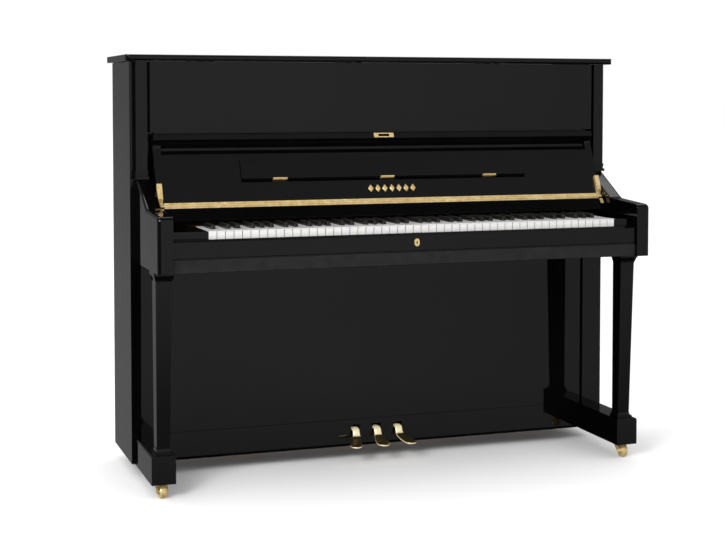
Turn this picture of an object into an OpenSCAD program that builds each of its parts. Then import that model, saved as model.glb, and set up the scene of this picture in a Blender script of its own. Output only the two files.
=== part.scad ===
// Upright piano. Origin: middle of the footprint, on the floor. Front is -Y.

/* [Cabinet] */
// Width over the lid
lid_w = 1530; // [1500:5:1560]
// Height to the top of the lid
height = 1210; // [1200:5:1220]
// Thickness of the lid
lid_t = 18; // [14:1:22]
// Distance from the centre to the outer face of a side
side_x = 749; // [745:1:755]
// Thickness of a side
side_t = 32; // [28:1:34]
// Width of the stile on the front edge of a side
stile_w = 65; // [60:1:66]
// Outer distance of the arms from the centre
arm_x = 734.5; // [732:0.5:736]
// Width of an arm
arm_w = 42; // [39:0.5:42]
// Height of the front of an arm
arm_top = 775; // [773:1:777]
// Underside of the key bed and the arms
bed_z = 621; // [617:1:623]
// Thickness of the key bed
bed_t = 36; // [34:1:37]

/* [Keyboard] */
// Width of the row of keys
keyboard_w = 1225; // [1222:1:1228]
// Sideways place of the middle of the keys
keyboard_x = 22; // [18:1:26]
// Height of the white key tops
key_top = 731; // [730:0.5:732]
// Visible length of a white key
key_show = 146; // [143:1:148]
// Length of the wide head of a white key
head_l = 50; // [48:1:52]
// Gap between keys
key_gap = 1; // [0.8:0.1:1.2]
// Height of a black key above the white ones
sharp_h = 12; // [11:0.5:12.5]

/* [Fallboard] */
// Height of the hinge line
fall_z = 786; // [785:1:787]
// Lean of the open board from upright, in degrees
fall_lean = 24; // [23:1:25]
// Distance from the hinge line to the front of the board
fall_l = 211; // [209:1:212]
// Half width of the board
fall_x = 690; // [688:1:691]

/* [Legs and casters] */
// Height of the toe blocks above the floor
foot_z = 42; // [41:1:44]
// Height of a toe block
toe_h = 79; // [74:1:82]
// Distance of the legs from the centre
leg_x = 704; // [701:1:705]
// Radius of a caster wheel
wheel_r = 18; // [17:0.5:18.5]

/* [Pedals] */
// Distance between pedals
pedal_pitch = 68; // [64:1:72]
// Width of the toe of a pedal
pedal_w = 38; // [34:1:40]

/* [Strings] */
// Notes on the piano
note_count = 88; // [85:1:88]

/* [Hidden] */
$fn = 48;

// Planes from front to back
front_y = -310;
side_front = 14;
side_back = 300;
back_y = 310;
lid_front = -23;
lid_back = 297;
panel_front = -14;
slip_front = -301;
slip_t = 18;
key_front = -278;
key_back = 108;
board_y = 204;
post_y = 224;

// Heights
lid_z = height - lid_t;
case_top = lid_z - 0.5;
bed_top = bed_z + bed_t;
slip_z = bed_top + 3;
slip_top = 710;
toe_top = foot_z + toe_h;
pilaster_z = 858;
key_under = key_top - 24;
inner_x = side_x - stile_w;
arm_inner = arm_x - arm_w;
fit = 0.06;

// Mirrored pair about the middle
module pair() {
    children();
    mirror([1, 0, 0]) children();
}

// Box from its lowest corner to its highest
module block(low, high) {
    translate(low) cube(high - low);
}

// Outline in Y and Z made solid between two places in X
module across(x0, x1) {
    translate([x0, 0, 0]) rotate([90, 0, 90]) linear_extrude(x1 - x0) children();
}

// Round bar along X
module bar_x(x0, x1, y, z, r) {
    translate([x0, y, z]) rotate([0, 90, 0]) cylinder(r = r, h = x1 - x0);
}

// ---- Cabinet ----

module side_panel() {
    block([side_x - side_t, side_front, foot_z], [side_x, side_back, case_top]);
    block([inner_x, side_front, foot_z], [side_x - side_t + 1, side_front + 22, case_top]);
}

module left_side_panel() {
    color("#1b1b1d") mirror([1, 0, 0]) side_panel();
}

module right_side_panel() {
    color("#1b1b1d") side_panel();
}

pilaster_in = 704;
pilaster_out = 737;
module front_pilasters() {
    color("#1b1b1d") pair() {
        block([pilaster_in, -15, 882], [pilaster_out, side_front, case_top]);
        block([pilaster_in - 2, -17, 874], [pilaster_out + 2, side_front, 882]);
        block([pilaster_in - 1, -16, 866], [pilaster_out + 1, side_front, 874.5]);
        block([pilaster_in - 4, -20, pilaster_z], [pilaster_out + 4, side_front, 866.5]);
    }
}

arm_bend = -150;
arm_rise = 8;
arm_slope = 30;
arm_fillet = 45;
arm_corner = 14;
module arm_outline() {
    corner_y = front_y + arm_corner;
    bend_z = arm_top + arm_rise;
    rise_y = arm_bend + (pilaster_z - bend_z) / tan(arm_slope);
    tilt = atan2(arm_rise, arm_bend - corner_y);
    turn = arm_slope - tilt;
    t = arm_fillet * tan(turn / 2);
    translate([front_y, bed_z]) square([arm_corner + 1, arm_top - arm_corner - bed_z]);
    translate([corner_y, arm_top - arm_corner]) circle(r = arm_corner);
    polygon([[corner_y, bed_z], [corner_y, arm_top], [arm_bend, bend_z], [rise_y, pilaster_z],
        [side_front, pilaster_z], [side_front, bed_z]]);
    translate([arm_bend, bend_z]) rotate(tilt) difference() {
        polygon([[-t, 0], [-t, -1], [t, -1], [t * cos(turn), t * sin(turn)]]);
        translate([-t, arm_fillet]) circle(r = arm_fillet, $fn = 96);
    }
}

module arms() {
    color("#1b1b1d") pair() across(arm_inner, arm_x) arm_outline();
}

module tapered(x, y0, y1, half0, half1, depth0, depth1, z0, z1) {
    hull() {
        block([x - half0, y0 - depth0, z0], [x + half0, y0, z0 + 0.5]);
        block([x - half1, y1 - depth1, z1 - 0.5], [x + half1, y1, z1]);
    }
}

leg_back = -184;
module legs() {
    color("#1b1b1d") pair() {
        block([leg_x - 24, leg_back - 42, toe_top], [leg_x + 24, leg_back + 8, toe_top + 7]);
        tapered(leg_x, leg_back + 6, leg_back + 4, 21, 18.5, 42, 37, toe_top + 6.5, toe_top + 16);
        tapered(leg_x, leg_back + 4, leg_back - 1, 18.5, 22, 37, 49, toe_top + 15, bed_z - 28);
        tapered(leg_x, leg_back - 1, leg_back, 22, 28, 49, 58, bed_z - 28.5, bed_z - 10);
        block([leg_x - 29, leg_back - 60, bed_z - 10.5], [leg_x + 29, leg_back + 2, bed_z]);
    }
}

toe_in = 673;
toe_out = 740;
toe_front = -235;
toe_round = 6;
caster_x = 706;
front_caster_y = -195;
rear_caster_y = 262;
stem_r = 5;
module toe_blocks() {
    color("#1b1b1d") pair() difference() {
        translate([0, side_front, 0]) rotate([90, 0, 0]) linear_extrude(side_front - toe_front) union() {
            translate([toe_in, foot_z]) square([toe_out - toe_in, toe_h - toe_round]);
            translate([toe_in, foot_z]) square([toe_out - toe_in - toe_round, toe_h]);
            translate([toe_out - toe_round, toe_top - toe_round]) circle(r = toe_round);
        }
        translate([caster_x, front_caster_y, foot_z - 1]) cylinder(r = stem_r + fit, h = 41);
    }
}

module key_bed() {
    color("#26221f") {
        block([-arm_inner, slip_front, bed_z], [arm_inner, side_front, bed_top]);
        block([-inner_x, side_front - 1, bed_z], [inner_x, 120, bed_top]);
    }
}

slip_groove = 2.5;
slip_chamfer = 6;
bolt_y = -288;
bolt_x = 11;
bolt_half = 2;
mortise_deep = 30;
lock_z = 684;
keyhole_r = 2.5;
module key_slip() {
    color("#1b1b1d") difference() {
        across(-arm_inner, arm_inner) polygon([
            [slip_front + slip_groove, bed_top], [slip_front + slip_t, bed_top],
            [slip_front + slip_t, slip_top], [slip_front + slip_chamfer, slip_top],
            [slip_front, slip_top - slip_chamfer], [slip_front, slip_z + 1.5],
            [slip_front + slip_groove, slip_z]]);
        block([-bolt_x - 0.5, bolt_y - bolt_half - 0.5, slip_top - mortise_deep],
            [bolt_x + 0.5, bolt_y + bolt_half + 0.5, slip_top + 1]);
        translate([0, slip_front - 1, lock_z]) rotate([-90, 0, 0]) cylinder(r = keyhole_r, h = 6);
    }
}

module key_blocks() {
    block_back = -110;
    left_end = keyboard_x - keyboard_w / 2 - 1;
    right_end = keyboard_x + keyboard_w / 2 + 1;
    color("#1b1b1d") {
        block([-arm_inner, key_front, bed_top], [left_end, block_back, key_top - 1]);
        block([right_end, key_front, bed_top], [arm_inner, block_back, key_top - 1]);
    }
}

module upper_panel() {
    half = 696;
    thin_half = inner_x - 4;
    thick_z = 990;
    color("#1b1b1d") {
        block([-half, panel_front, thick_z], [half, side_front - 1, case_top]);
        block([-thin_half, side_front - 1.5, name_top + 1],
            [thin_half, side_front + 16, case_top]);
    }
}

rail_top = 124;
lower_half = 676;
module lower_panel() {
    color("#1b1b1d")
        block([-lower_half, side_front, rail_top + 0.5], [lower_half, side_front + 18, bed_z - 1]);
}

pedal_x = -8;
slot_low = 78;
slot_high = 107;
slot_half = 14;
module bottom_rail() {
    color("#1b1b1d") difference() {
        block([-lower_half, side_front, foot_z + 2], [lower_half, side_front + 18, rail_top]);
        for (i = [-1, 0, 1])
            block([pedal_x + i * pedal_pitch - slot_half, side_front - 1, slot_low],
                [pedal_x + i * pedal_pitch + slot_half, side_front + 19, slot_high]);
    }
}

board_top = 62;
module bottom_board() {
    color("#3a2f26")
        block([-inner_x, side_front + 18, foot_z + 2], [inner_x, board_y, board_top]);
}

// ---- Lid ----

lid_round = 7;
module top_lid() {
    color("#1b1b1d") intersection() {
        across(-lid_w / 2, lid_w / 2) union() {
            translate([lid_front + lid_round, lid_z])
                square([lid_back - lid_front - lid_round, lid_t]);
            translate([lid_front, lid_z + lid_round])
                square([lid_back - lid_front, lid_t - 2 * lid_round]);
            translate([lid_front + lid_round, lid_z + lid_round]) circle(r = lid_round);
            translate([lid_front + lid_round, height - lid_round]) circle(r = lid_round);
        }
        translate([0, 0, lid_z - 1]) linear_extrude(lid_t + 2) lid_plan();
    }
}

lid_corner = 12;
module lid_plan() {
    x = lid_w / 2 - lid_corner;
    translate([-x, lid_front]) square([2 * x, lid_back - lid_front]);
    translate([-lid_w / 2, lid_front + lid_corner])
        square([lid_w, lid_back - lid_front - lid_corner]);
    for (s = [-1, 1]) translate([s * x, lid_front + lid_corner]) circle(r = lid_corner);
}

lid_axis_y = 302;
lid_axis_z = 1190;
knuckle_r = 5;
lid_pin_r = 2;
lid_hinge_w = 90;
lid_hinges = [-480, 0, 480];
frame_top = 1180;
module lid_hinge_frame_leaves() {
    color("#c9a24b") for (x = lid_hinges) {
        end = x + lid_hinge_w / 2;
        start = x - lid_hinge_w / 2;
        block([start, 268, frame_top], [end, lid_axis_y + 3, frame_top + 2]);
        for (k = [0, 2, 4]) {
            k0 = start + k * lid_hinge_w / 5;
            bar_x(k0, k0 + lid_hinge_w / 5 - 0.5, lid_axis_y, lid_axis_z, knuckle_r);
            block([k0, lid_axis_y - 2, frame_top + 1],
                [k0 + lid_hinge_w / 5 - 0.5, lid_axis_y + 2, lid_axis_z - 3]);
        }
        bar_x(start, end - 0.5, lid_axis_y, lid_axis_z, lid_pin_r);
    }
}

module lid_hinge_lid_leaves() {
    color("#c9a24b") for (x = lid_hinges) {
        start = x - lid_hinge_w / 2;
        for (k = [1, 3]) {
            k0 = start + k * lid_hinge_w / 5;
            difference() {
                union() {
                    bar_x(k0, k0 + lid_hinge_w / 5 - 0.5, lid_axis_y, lid_axis_z, knuckle_r);
                    block([k0, lid_back - 3, lid_axis_z],
                        [k0 + lid_hinge_w / 5 - 0.5, lid_axis_y, lid_z]);
                }
                bar_x(k0 - 1, k0 + lid_hinge_w / 5, lid_axis_y, lid_axis_z, lid_pin_r + fit);
            }
        }
        block([start, 262, lid_z - 2], [start + lid_hinge_w - 0.5, lid_back - 2, lid_z]);
    }
}

// ---- Fallboard: local Y runs along the board, local Z out of its inner face ----

fall_y = -97;
face = -5;
board_t = 16;
nose_t = 17;
nose_tip = 15;
cove_r = 20;
scoop_end = 22;
desk_x = 443;
desk_y = 80;
desk_l = 57;
desk_deep = 5.5;
desk_gap = 1.2;
desk_groove = 11;
groove_deep = 8.5;
module on_fallboard() {
    translate([0, fall_y, fall_z]) rotate([90 - fall_lean, 0, 0]) children();
}

module fall_outline() {
    nose = fall_l - nose_t;
    difference() {
        union() {
            translate([6, face - board_t]) square([fall_l - 6 - 8, board_t]);
            translate([fall_l - 8, face - board_t + 8]) circle(r = 8);
            translate([nose, face - board_t + 8]) square([nose_t, nose_tip + board_t - face - 8]);
            translate([nose - cove_r, face - 1]) square([cove_r + 1, nose_tip - face]);
        }
        translate([nose - cove_r, nose_tip]) circle(r = cove_r - 0.5);
        translate([nose - cove_r - 1, nose_tip - 2]) square([cove_r - 2, 5]);
    }
}

// Finger groove under the lip: a slope in, a narrow floor and a steep wall
module scoop_outline() {
    wall = fall_l - nose_t;
    polygon([[wall - 37, face + 0.01], [wall - 23, face - 8], [wall - 15, face - 7],
        [wall, nose_tip - 2], [wall, nose_tip + 1], [wall - 37, nose_tip + 1]]);
}

module fallboard() {
    color("#1b1b1d") on_fallboard() difference() {
        across(-fall_x, fall_x) fall_outline();
        across(-fall_x + scoop_end, fall_x - scoop_end) scoop_outline();
        block([-desk_x - desk_gap, desk_y - 0.5, face - desk_deep],
            [desk_x + desk_gap, desk_y + desk_l + 0.5, face + 2]);
        across(-desk_x - desk_gap, desk_x + desk_gap)
            polygon([[desk_y - desk_groove, face], [desk_y - 1, face - groove_deep],
                [desk_y, face - groove_deep], [desk_y, face + 2], [desk_y - desk_groove, face + 2]]);
        for (x = desk_hinges)
            block([x - desk_hinge_w / 2, desk_y - 3.2, face - groove_deep],
                [x + desk_hinge_w / 2, desk_y, face]);
        block([-17, fall_l - 12, 3], [17, fall_l - 4, nose_tip + 1]);
    }
}

module strike_plate() {
    color("#c9a24b") on_fallboard() difference() {
        block([-31, fall_l - 15, nose_tip], [31, fall_l - 1, nose_tip + 1.2]);
        block([-17, fall_l - 12, nose_tip - 1], [17, fall_l - 4, nose_tip + 2]);
    }
}

hinge_r = 4.2;
hinge_pin_r = 1.5;
hinge_half = 674;
hinge_parts = 28;
hinge_step = 2 * hinge_half / hinge_parts;
bracket_in = 676;
bracket_low = 20;
bracket_deep = 11;
name_top = 780;
upstand_y = fall_y - 7.5;
upstand_z = name_top + 4;
module fallboard_hinge_fixed_leaf() {
    color("#c9a24b") {
        block([-hinge_half, upstand_y, name_top], [hinge_half, fall_y + 13, name_top + 1.5]);
        block([-hinge_half, upstand_y, name_top], [hinge_half, upstand_y + 1.5, upstand_z]);
        for (k = [0:2:hinge_parts - 1]) {
            k0 = -hinge_half + k * hinge_step;
            bar_x(k0, k0 + hinge_step - 0.4, fall_y, fall_z, hinge_r);
            block([k0, fall_y - 1.5, name_top + 1],
                [k0 + hinge_step - 0.4, fall_y + 1.5, fall_z - 3]);
        }
        bar_x(-hinge_half, hinge_half - 1, fall_y, fall_z, hinge_pin_r);
        pair() translate([0, name_front, name_low]) rotate([name_slope, 0, 0])
            block([bracket_in + 1, 22, 0], [bracket_in + 11, 40, 1.6]);
    }
}

module fallboard_hinge_moving_leaf() {
    color("#c9a24b") on_fallboard() {
        for (k = [1:2:hinge_parts - 1]) {
            k0 = -hinge_half + k * hinge_step;
            difference() {
                union() {
                    bar_x(k0, k0 + hinge_step - 0.4, 0, 0, hinge_r);
                    block([k0, 0, face], [k0 + hinge_step - 0.4, 8, face + 1.5]);
                }
                bar_x(k0 - 1, k0 + hinge_step, 0, 0, hinge_pin_r + fit);
            }
        }
        block([-hinge_half, 6, face], [hinge_half, 11, face + 1.5]);
        pair() across(bracket_in, fall_x) polygon([[6, face], [66, face], [66, face + bracket_deep],
            [bracket_low, face + bracket_deep], [12, face + 1.6], [6, face + 1.6]]);
    }
}

desk_z = -10.2;
desk_front = -3;
desk_hinges = [-328, 0, 328];
desk_hinge_w = 42;
desk_pin_r = 2;
module music_desk() {
    color("#1b1b1d") on_fallboard() difference() {
        block([-desk_x, desk_y, desk_z], [desk_x, desk_y + desk_l, desk_front]);
        for (x = desk_hinges)
            block([x - desk_hinge_w / 2 - 0.5, desk_y - 1, desk_front - 2.5],
                [x + desk_hinge_w / 2 + 0.5, desk_y + 3, desk_front + 1]);
    }
}

module music_desk_hinges() {
    half = desk_hinge_w / 2;
    color("#c9a24b") on_fallboard() for (x = desk_hinges) {
        bar_x(x - half, x + half, desk_y, desk_front, desk_pin_r);
        block([x - half, desk_y - 3.2, face - groove_deep], [x + half, desk_y - 0.6, face + 0.8]);
    }
}

name_front = -131;
name_low = 748;
name_slope = 51;
shelf_t = 10;
module nameboard() {
    color("#1b1b1d") across(-arm_inner, arm_inner) polygon([
        [name_front, name_low], [name_front + (name_top - name_low) / tan(name_slope), name_top],
        [side_front - 2, name_top], [side_front - 2, name_top - shelf_t],
        [fall_y + 14, name_top - shelf_t], [fall_y + 14, name_low]]);
}

escutcheon_r = 7.5;
module lock_escutcheon() {
    color("#c9a24b") difference() {
        translate([0, slip_front, lock_z]) rotate([90, 0, 0]) linear_extrude(1.4) hull()
            for (v = [-3.5, 3.5]) translate([0, v]) circle(r = escutcheon_r, $fn = 32);
        translate([0, slip_front - 2, lock_z]) rotate([-90, 0, 0]) cylinder(r = keyhole_r, h = 4);
        block([-1.2, slip_front - 2, lock_z - 6], [1.2, slip_front + 1, lock_z]);
    }
}

module lock_bolt() {
    color("#c9a24b") block([-bolt_x, bolt_y - bolt_half, slip_top - 22],
        [bolt_x, bolt_y + bolt_half, slip_top - 0.5]);
}

// ---- Keys: note 0 is the lowest A, semitone 0 is C ----

pitch = keyboard_w / 52;
keyboard_left = keyboard_x - keyboard_w / 2;
WHITE = [0, 2, 4, 5, 7, 9, 11];
function semitone(n) = (n + 9) % 12;
function octave(n) = floor((n + 9) / 12);
function octave_left(n) = keyboard_left + (7 * octave(n) - 5) * pitch;
function letter(k) = search(k, WHITE)[0];
function slot_w(k) = k < 5 ? 3 * pitch / 5 : 4 * pitch / 7;
function slot_left(k) = k < 5 ? k * slot_w(k) : 3 * pitch + (k - 5) * slot_w(k);
function note_x(n) = octave_left(n) + slot_left(semitone(n)) + slot_w(semitone(n)) / 2;

module white_key(n) {
    k = semitone(n);
    head = octave_left(n) + letter(k) * pitch;
    stem = octave_left(n) + slot_left(k);
    stem0 = n == 0 ? head : stem;
    stem1 = n == note_count - 1 ? head + pitch : stem + slot_w(k);
    block([head + key_gap / 2, key_front, key_under],
        [head + pitch - key_gap / 2, key_front + head_l, key_top]);
    block([stem0 + key_gap / 2, key_front + head_l - 1, key_under],
        [stem1 - key_gap / 2, key_front + key_show + 6, key_top]);
    block([stem0 + key_gap / 2, key_front + key_show + 5, key_under],
        [stem1 - key_gap / 2, key_back, key_top - 3]);
}

sharp_gap = 1.8;
sharp_front = key_front + head_l + sharp_gap;
module black_key(n) {
    half = slot_w(semitone(n)) / 2 - key_gap / 2;
    x = note_x(n);
    block([x - half, sharp_front, key_under], [x + half, key_back, key_top - 3]);
    difference() {
        translate([x, key_front + key_show + 4, 0]) rotate([90, 0, 0])
            linear_extrude(key_show + 4 - head_l - sharp_gap)
                polygon([[-5.6, key_top - 4], [5.6, key_top - 4],
                    [4.7, key_top + sharp_h], [-4.7, key_top + sharp_h]]);
        translate([x, sharp_front, key_top - 3]) rotate([-14, 0, 0])
            translate([-8, -20, 0]) cube([16, 20, 30]);
    }
}

module white_keys(classes) {
    color("#f4f2ec") for (n = [0:note_count - 1])
        if (len(search(semitone(n), classes)) > 0) white_key(n);
}

module black_keys(classes) {
    color("#141414") for (n = [0:note_count - 1])
        if (len(search(semitone(n), classes)) > 0) black_key(n);
}

module keys_c_f() { white_keys([0, 5]); }
module keys_d_g() { white_keys([2, 7]); }
module keys_e_a() { white_keys([4, 9]); }
module keys_b() { white_keys([11]); }
module keys_c_sharp_f_sharp() { black_keys([1, 6]); }
module keys_d_sharp_g_sharp() { black_keys([3, 8]); }
module keys_a_sharp() { black_keys([10]); }

balance_y = -63;
balance_pad_r = 6;
rail_z = 690;
module key_frame() {
    right = keyboard_left + keyboard_w;
    pad_z = key_under - balance_pad_r - 0.4;
    color("#b98f5c") {
        block([keyboard_left, -272, bed_top], [right, -232, rail_z]);
        block([keyboard_left, balance_y - 20, bed_top], [right, balance_y + 20, rail_z]);
        block([keyboard_left, balance_y - 6, rail_z - 1], [right, balance_y + 6, pad_z]);
        bar_x(keyboard_left, right, balance_y, pad_z, balance_pad_r);
        block([keyboard_left, 84, bed_top], [right, key_back - 2, key_under - 0.4]);
    }
}

// ---- Action ----

butt_y = 88;
butt_z = 940;
hammer_r = 145;
hammer_lean = 7.8;
butt_r = 9;
shank_r = 2.6;
felt_r = 10;
felt_y = 28;
module hammer(n) {
    x = note_x(n);
    translate([x, butt_y, butt_z]) rotate([hammer_lean, 0, 0]) {
        difference() {
            union() {
                bar_x(-4, 4, 0, 0, butt_r);
                block([-3, -3, 6], [3, 3, 22]);
            }
            bar_x(-5, 5, 0, 0, hinge_pin_r + fit);
        }
        translate([0, 0, 20]) cylinder(r = shank_r, h = hammer_r - 24, $fn = 16);
        block([-3.5, -5, hammer_r - 5], [3.5, felt_y - 14, hammer_r + 5]);
        across(-4.5, 4.5) {
            translate([felt_y - 15, hammer_r - felt_r]) square([15, 2 * felt_r]);
            translate([felt_y, hammer_r]) circle(r = felt_r);
        }
    }
}

module hammers(classes) {
    color("#e8e0cf") for (n = [0:note_count - 1])
        if (len(search(semitone(n), classes)) > 0) hammer(n);
}

module hammers_c_f() { hammers([0, 5]); }
module hammers_d_g() { hammers([2, 7]); }
module hammers_e_a() { hammers([4, 9]); }
module hammers_b() { hammers([11]); }
module hammers_c_sharp_f_sharp() { hammers([1, 6]); }
module hammers_d_sharp_g_sharp() { hammers([3, 8]); }
module hammers_a_sharp() { hammers([10]); }

action_x = 650;
bracket_x = [-612, -212, 216, 640];
bracket_t = 8;
rail_front = 100;
rail_back = 128;
rail_low = 895;
rail_high = 925;
module action_frame() {
    color("#c2a06b") {
        block([-action_x, rail_front, rail_low], [action_x, rail_back, rail_high]);
        for (x = bracket_x) {
            block([x - bracket_t / 2, 110, 757], [x + bracket_t / 2, rail_back, rail_low + 5]);
            block([x - bracket_t / 2, 112, bed_top], [x + bracket_t / 2, 120, 760]);
        }
        for (x = [-action_x, damper_end + 2]) difference() {
            block([x, rail_back - 1, damper_z - 9], [x + cheek_t, damper_y + 8, damper_z + 9]);
            bar_x(x - 1, x + cheek_t + 1, damper_y, damper_z, damper_pin_r + fit);
        }
        for (x = [-action_x, action_x - cheek_t]) across(x, x + cheek_t)
            polygon([[rail_front, rail_low + 5], [rail_back, rail_low + 5], [rail_back, rail_high],
                [butt_y + 8, butt_z + 8], [butt_y - 8, butt_z + 8], [butt_y - 8, butt_z - 10]]);
        bar_x(-action_x, action_x, butt_y, butt_z, hinge_pin_r);
    }
}

module hammer_rest_rail() {
    color("#8a6a42") {
        block([-action_x, 44, 1025], [action_x, 58, 1050]);
        block([-action_x, 57.5, 1029], [action_x, 64, 1046]);
    }
}

damper_y = 137;
damper_z = 905;
damper_last = 67;
damper_head = 988;
damper_pin_r = 2;
damper_end = note_x(damper_last) + 8;
cheek_t = 6;
module dampers() {
    color("#d9d2c0") {
        block([-action_x + cheek_t + 2, damper_y - 5, damper_z - 7],
            [damper_end, damper_y + 4, damper_z + 7]);
        bar_x(-action_x, damper_end + cheek_t + 2, damper_y, damper_z, damper_pin_r);
        for (n = [0:damper_last]) {
            x = note_x(n);
            block([x - 2.5, damper_y - 4, damper_z], [x + 2.5, damper_y + 2, damper_head + 22]);
            block([x - 5, damper_y, damper_head], [x + 5, damper_y + 15, damper_head + 42]);
        }
    }
}

module muffler_rail() {
    color("#7c8f6a") block([-action_x, 150, 1098], [action_x, 153, 1116]);
}

// ---- Pedals ----

pedal_y = 95;
pedal_z = 90;
pedal_pin_r = 4;
pedal_half = 11;
toe_y = -48;
toe_flare = 18;
module pedal_side() {
    translate([pedal_y, pedal_z]) circle(r = 9);
    polygon([[pedal_y, pedal_z + 5], [60, 100], [22, 104], [8, 104.5], [2, 102], [-2, 96], [-4, 84],
        [-12, 76], [toe_y, 66], [toe_y - 25, 64], [toe_y - 25, 53], [toe_y, 54], [-14, 60], [2, 68],
        [6, 78], [8, 87], [18, 92], [60, 89], [pedal_y, pedal_z - 6]]);
}

module pedal_plan(flare) {
    tip = pedal_w / 2;
    side = tip - 1;
    polygon([[-pedal_half, pedal_y + 10], [pedal_half, pedal_y + 10], [pedal_half, -4],
        [flare + side, toe_y + 6], [flare + side, toe_y], [flare - side, toe_y],
        [flare - side, toe_y + 6], [-pedal_half, -4]]);
    translate([flare, toe_y]) circle(r = tip);
}

module pedal(i) {
    color("#c9a24b") translate([pedal_x + i * pedal_pitch, 0, 0]) difference() {
        intersection() {
            across(-50, 50) pedal_side();
            translate([0, 0, 40]) linear_extrude(80) pedal_plan(i * toe_flare);
        }
        bar_x(-pedal_half - 1, pedal_half + 1, pedal_y, pedal_z, pedal_pin_r + fit);
    }
}

module left_pedal() { pedal(-1); }
module middle_pedal() { pedal(0); }
module right_pedal() { pedal(1); }

ear_x = 17;
ear_t = 5;
module pedal_frame() {
    color("#5b5147") {
        for (i = [-1, 0, 1]) {
            x = pedal_x + i * pedal_pitch;
            for (s = [-ear_x, ear_x - ear_t])
                block([x + s, pedal_y - 14, board_top], [x + s + ear_t, pedal_y + 14, pedal_z + 12]);
            bar_x(x - ear_x, x + ear_x, pedal_y, pedal_z, pedal_pin_r);
        }
        block([pedal_x - pedal_pitch - 30, pedal_y - 18, board_top],
            [pedal_x + pedal_pitch + 30, pedal_y + 18, board_top + 6]);
    }
}

// ---- Casters ----

axle_r = 3;
wheel_half = 10;
cheek_x = wheel_half + 3;
trail = 14;
module caster_fork(x, y, dy) {
    wheel_y = y + dy;
    translate([x, y, foot_z - 5]) cylinder(r = 17, h = 4.6);
    for (s = [-1, 1])
        block([x + s * cheek_x - 2, min(y, wheel_y) - 9, wheel_r - 6],
            [x + s * cheek_x + 2, max(y, wheel_y) + 9, foot_z - 4]);
    bar_x(x - cheek_x - 2, x + cheek_x + 2, wheel_y, wheel_r, axle_r);
}

module front_fork(x) {
    color("#c9a24b") {
        caster_fork(x, front_caster_y, -trail);
        translate([x, front_caster_y, foot_z - 2]) cylinder(r = stem_r, h = 36);
    }
}

module wheel(x, y) {
    color("#c9a24b") translate([x, y, wheel_r]) rotate([0, 90, 0]) rotate_extrude()
        polygon([[axle_r + fit, -wheel_half], [wheel_r - 3, -wheel_half], [wheel_r, -wheel_half + 4],
            [wheel_r, wheel_half - 4], [wheel_r - 3, wheel_half], [axle_r + fit, wheel_half]]);
}

module front_left_caster_fork() { front_fork(-caster_x); }
module front_left_caster_wheel() { wheel(-caster_x, front_caster_y - trail); }
module front_right_caster_fork() { front_fork(caster_x); }
module front_right_caster_wheel() { wheel(caster_x, front_caster_y - trail); }

rear_caster_x = 690;
module rear_caster_forks() {
    color("#c9a24b") for (s = [-1, 1]) {
        caster_fork(s * rear_caster_x, rear_caster_y, 0);
        translate([s * rear_caster_x, rear_caster_y, foot_z - 1]) cylinder(r = 16, h = 1);
    }
}

module rear_left_caster_wheel() { wheel(-rear_caster_x, rear_caster_y); }
module rear_right_caster_wheel() { wheel(rear_caster_x, rear_caster_y); }

// ---- Back, soundboard and strings ----

back_x = side_x - side_t;
beam_low = 150;
beam_high = 1060;
post_w = 62;
module back_frame() {
    color("#b58a58") {
        block([-back_x, board_y, foot_z], [back_x, side_back, beam_low]);
        block([-back_x, board_y, beam_high], [back_x, side_back, frame_top]);
        for (i = [-2:2]) {
            x = i * (back_x - post_w / 2) / 2;
            block([x - post_w / 2, post_y, foot_z], [x + post_w / 2, back_y, frame_top]);
        }
    }
}

rib_pitch = 130;
rib_w = 24;
rib_t = 14;
module soundboard() {
    color("#d8b27c") {
        block([-back_x, board_y, beam_low], [back_x, board_y + 8, beam_high]);
        intersection() {
            block([-back_x + 40, board_y + 7, beam_low + 20], [back_x - 40, post_y, beam_high - 20]);
            for (i = [-6:6]) translate([i * rib_pitch, post_y - rib_t / 2, (beam_low + beam_high) / 2])
                rotate([0, 40, 0]) cube([rib_w, rib_t, 1400], center = true);
        }
    }
}

plate_y = 172;
plate_t = 10;
plate_low = 160;
plate_high = 1176;
module iron_plate() {
    windows = [[-640, -230], [-205, 190], [215, 420], [445, 640]];
    color("#9a7a3c") translate([0, plate_y + plate_t, 0]) rotate([90, 0, 0])
        linear_extrude(plate_t) difference() {
            translate([-back_x + 8, plate_low]) square([2 * back_x - 16, plate_high - plate_low]);
            for (w = windows) hull()
                for (x = w, z = [300 + (w[0] + 640) * 0.12, 1040])
                    translate([x, z]) circle(r = 18, $fn = 24);
        }
}

pin_r = 3.4;
pin_y = 146;
function unison(n) = n < 8 ? 1 : n < 26 ? 2 : 3;
function bass(n) = n < 26;
function string_gap(n) = bass(n) ? 4.6 : 3.4;
function string_x(n, j) = note_x(n) + (j - (unison(n) - 1) / 2) * string_gap(n);
module tuning_pins() {
    color("#c6c8cc") for (n = [0:note_count - 1], j = [0:unison(n) - 1])
        translate([note_x(n), pin_y, 1124 + j * 16 + (n % 2) * 7]) rotate([-90, 0, 0])
            cylinder(r = pin_r, h = plate_y - pin_y, $fn = 16);
}

speak_y = 158;
top_z = 1116;
function string_l(n) = bass(n) ? 930 - n * 3 : min(880, 60 * pow(2, (87 - n) / 13.5));
function string_tilt(n) = bass(n) ? -26 : 9 - (n - 26) * 0.12;
module strings() {
    color("#b9bcc2") for (n = [0:note_count - 1], j = [0:unison(n) - 1]) {
        r = bass(n) ? 1.9 - n * 0.03 : 0.5;
        y = bass(n) ? speak_y : speak_y + 7;
        translate([string_x(n, j), y, top_z]) rotate([0, 180 + string_tilt(n), 0])
            cylinder(r = r, h = string_l(n), $fn = 16);
    }
}

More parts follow.
